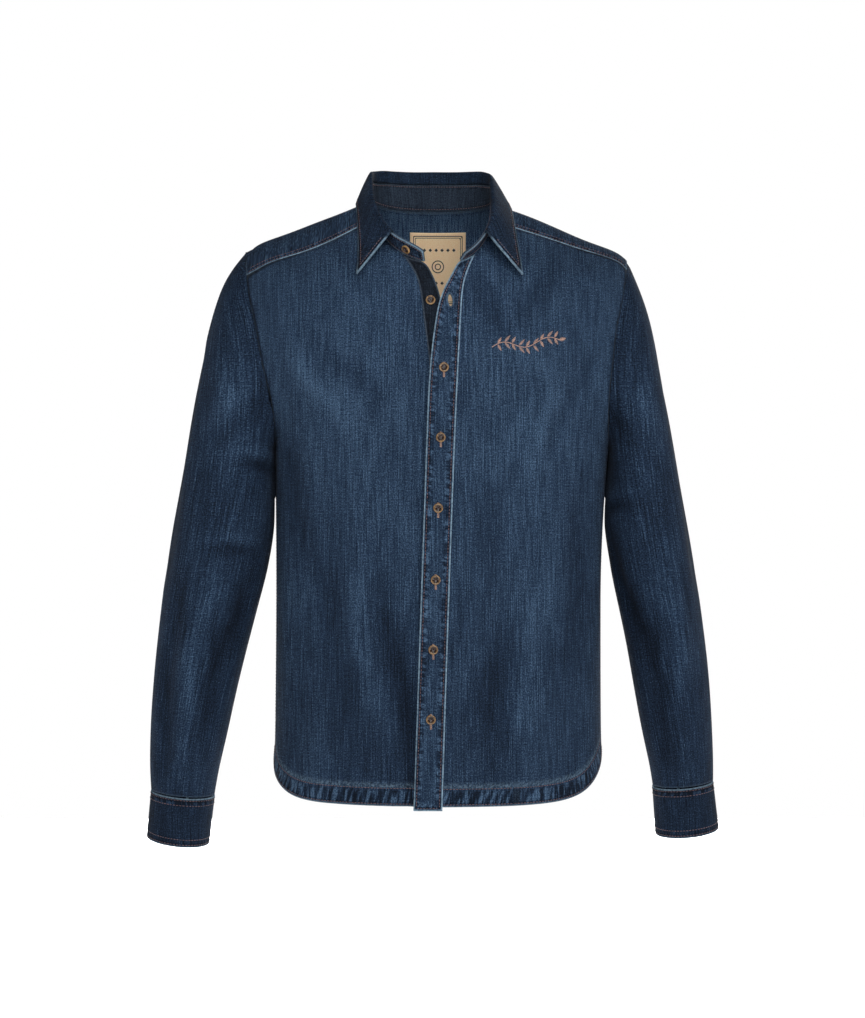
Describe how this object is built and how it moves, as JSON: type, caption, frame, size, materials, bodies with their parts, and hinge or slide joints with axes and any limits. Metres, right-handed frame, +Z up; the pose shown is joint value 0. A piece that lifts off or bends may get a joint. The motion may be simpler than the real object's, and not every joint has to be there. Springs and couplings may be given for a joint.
{
  "type": "denim shirt",
  "caption": "Long sleeved button-up denim shirt, filled out as worn and open at the neck, with a fold-down collar, placket, cuffs and a rounded hem.",
  "frame": {"origin": "between the shoulders at the height of the neck points, where the wearer's shoulders hold the shirt up", "axes": "+Z up, +Y towards the wearer's back, +X towards the wearer's left"},
  "size_m": [0.6611, 0.2478, 0.7878],
  "materials": {
    "denim": "washed blue twill, matt",
    "dark_denim": "unwashed dark blue twill, matt",
    "label": "tan woven cotton, matt",
    "horn": "brown horn look, glossy"
  },
  "bodies": {
    "root": {"back": "denim", "yoke": "denim", "right_sleeve": "denim", "right_sleeve_placket": "denim", "right_cuff": "denim", "left_sleeve": "denim", "left_sleeve_placket": "denim", "left_cuff": "denim", "left_front": "denim", "right_front": "denim", "front_placket": "denim", "button_band": "dark_denim", "collar_stand": "denim", "inner_collar_stand": "dark_denim", "collar": "denim", "neck_label": "label", "front_button_1": "horn", "front_button_2": "horn", "front_button_3": "horn", "front_button_4": "horn", "front_button_5": "horn", "front_button_6": "horn", "front_button_7": "horn", "collar_button": "horn", "right_placket_button": "horn", "right_cuff_button": "horn", "left_placket_button": "horn", "left_cuff_button": "horn"}
  },
  "joints": []
}
